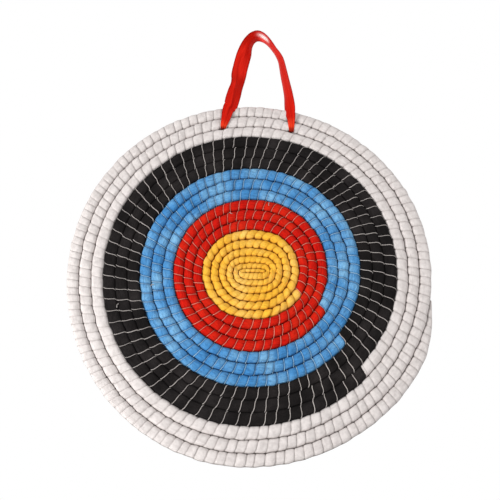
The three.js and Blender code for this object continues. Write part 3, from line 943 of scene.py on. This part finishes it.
# Painted highlight: the glint at the crown, lightened towards white, where the coat also gives it a real
# gloss.
satin.give("Base Color", satin.mixed(satin.measured("wear_and_painted_glint"), satin_colour, (1, 0.88, 0.86, 1)))
satin.give("Roughness", 0.34 + floats * 0.2)
satin.give("Metallic", 0.2 + floats * 0.2)
satin.give("Coat Weight", satin.measured("wear_and_painted_glint"))
satin.give("Normal", satin.relief(creases + floats * 0.12, 0.0009, 0.8))
ribbon.data.materials.append(satin.material)
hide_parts("ribbon_loop", "ribbon_left_pass", "ribbon_right_pass")
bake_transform(ribbon)


# Knot: the ribbon's two ends crossed and drawn tight behind the boss, round a puckered core. It is of the
# same satin, with part of the painted orange-red highlight that the gathered ribbon has.
knot_place = np.array((0.002, 0.0258, -0.1571))
knot_half_size = np.array((0.0084, 0.0042, 0.0067))
knot_glint_share = 0.55

bpy.ops.object.select_all(action="DESELECT")
bpy.ops.mesh.primitive_uv_sphere_add(segments=48, ring_count=28, radius=1)
knot = bpy.context.object
knot.name = "ribbon_tied_knot"
knot_points = np.array([vertex.co for vertex in knot.data.vertices])
wound_angle = np.arctan2(knot_points[:, 1], knot_points[:, 2]) + 1.1 * knot_points[:, 0]
pucker = 1 + 0.05 * np.cos(11 * wound_angle) + 0.08 * np.cos(3 * wound_angle + 2.5 * knot_points[:, 0])
pucker *= 1 - 0.18 * np.exp(-((knot_points[:, 0] - 0.25 * knot_points[:, 2]) / 0.16) ** 2)
knot_points = knot_points * pucker[:, None] * knot_half_size + knot_place
knot.data.vertices.foreach_set("co", knot_points.ravel())
knot.data.update()
bpy.ops.object.shade_smooth()
knot.data.uv_layers[0].name = "laid"
knot_glint_attribute = knot.data.attributes.new("painted_gathered_glint", "FLOAT", "POINT")
knot_glint_attribute.data.foreach_set("value", np.full(len(knot_points), knot_glint_share, np.float32))
knot.data.materials.append(satin.material)
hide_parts("ribbon_knot")
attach(knot, "boss")


# Tails: the two ends of the ribbon below the knot, fanned out and cut off at a slant. They lie against
# the back of the boss, with two soft pleats that open towards the cut.
tail_length = 0.044
tail_start = 0.005
tail_fan = 24
tail_cut_slope = 26
tail_cut_slant = 0.45


def tail_folds(share, length, gathered, middles):
    return np.cos(share * 5.2 + length * 20) * (0.0004 + 0.0012 * gathered) - 0.0003 * share


for side, name in ((-1, "left_tail"), (1, "right_tail")):
    tail_stations = []
    for t in np.linspace(0, 1, 26):
        leant = math.radians(tail_fan + 5 * math.sin(2.4 * t)) * side
        reached = tail_start + tail_length * t
        tail_stations.append((
            knot_place[0] + reached * math.sin(leant),
            0.0246 + 0.0007 * side - 0.0014 * smooth(t * 2.2) + 0.0007 * math.sin(5 * t + side),
            knot_place[2] - reached * math.cos(leant),
            -math.cos(leant), 0.1 * side, -math.sin(leant),
            0.0055 + 0.0095 * float(smooth(t * 1.6)),
        ))
    tail = lay_ribbon(f"ribbon_{name}", tail_stations, tail_folds)[0]
    cut_points = np.array([vertex.co for vertex in tail.data.vertices])
    off = cut_points - knot_place
    slope = math.radians(tail_cut_slope) * side
    down = off[:, 0] * math.sin(slope) - off[:, 2] * math.cos(slope)
    wide = off[:, 0] * math.cos(slope) + off[:, 2] * math.sin(slope)
    shortened = wide * tail_cut_slant * side * smooth((down - 0.025) / 0.02)
    cut_points[:, 0] += shortened * math.sin(slope)
    cut_points[:, 2] -= shortened * math.cos(slope)
    tail.data.vertices.foreach_set("co", cut_points.ravel())
    tail.data.update()
    tail.data.materials.append(satin.material)
    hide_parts("ribbon_knot")
    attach(tail, "boss")


# Floor and light: a plain pale floor under the hanging boss, a broad soft lamp to the left of the
# camera, a weak one on the right and one for the back, in front of white surroundings.
floor_size = 6
floor_z = -1.25
room_light = 0.6
room_seen = 1

bpy.ops.object.select_all(action="DESELECT")
bpy.ops.mesh.primitive_plane_add(size=floor_size, location=(0, 0, floor_z))
floor = bpy.context.object
floor.name = "pale_floor"
paper = Finish("pale_paper", Roughness=0.9)
grain = paper.mottle(paper.place(), 40, 2)
paper.give("Base Color", paper.mixed(grain, (0.86, 0.86, 0.855, 1), (0.9, 0.9, 0.895, 1)))
floor.data.materials.append(paper.material)

lamp_aim = Vector((0, 0, -0.35))


def add_soft_lamp(name, place, size, power):
    bpy.ops.object.light_add(type="AREA", location=place)
    lamp = bpy.context.object
    lamp.name = name
    lamp.data.shape = "DISK"
    lamp.data.size = size
    lamp.data.energy = power
    lamp.rotation_euler = (lamp_aim - Vector(place)).to_track_quat("-Z", "Y").to_euler()


add_soft_lamp("left_softbox", (-1.34, -0.76, -0.8), 0.55, 18.5)
add_soft_lamp("right_fill", (0.9, -1.6, 0.5), 1.2, 9)
add_soft_lamp("rear_fill", (-1.1, 1.5, -0.7), 0.9, 11)

world = bpy.data.worlds.new("white_room")
world.use_nodes = True
room = world.node_tree
background = room.nodes["Background"]
seen = room.nodes.new("ShaderNodeLightPath")
strength = room.nodes.new("ShaderNodeMix")
strength.inputs["A"].default_value = room_light
strength.inputs["B"].default_value = room_seen
room.links.new(seen.outputs["Is Camera Ray"], strength.inputs["Factor"])
room.links.new(strength.outputs["Result"], background.inputs["Strength"])
background.inputs["Color"].default_value = (1, 1, 1, 1)
bpy.context.scene.world = world
bpy.context.scene.view_settings.view_transform = "Standard"
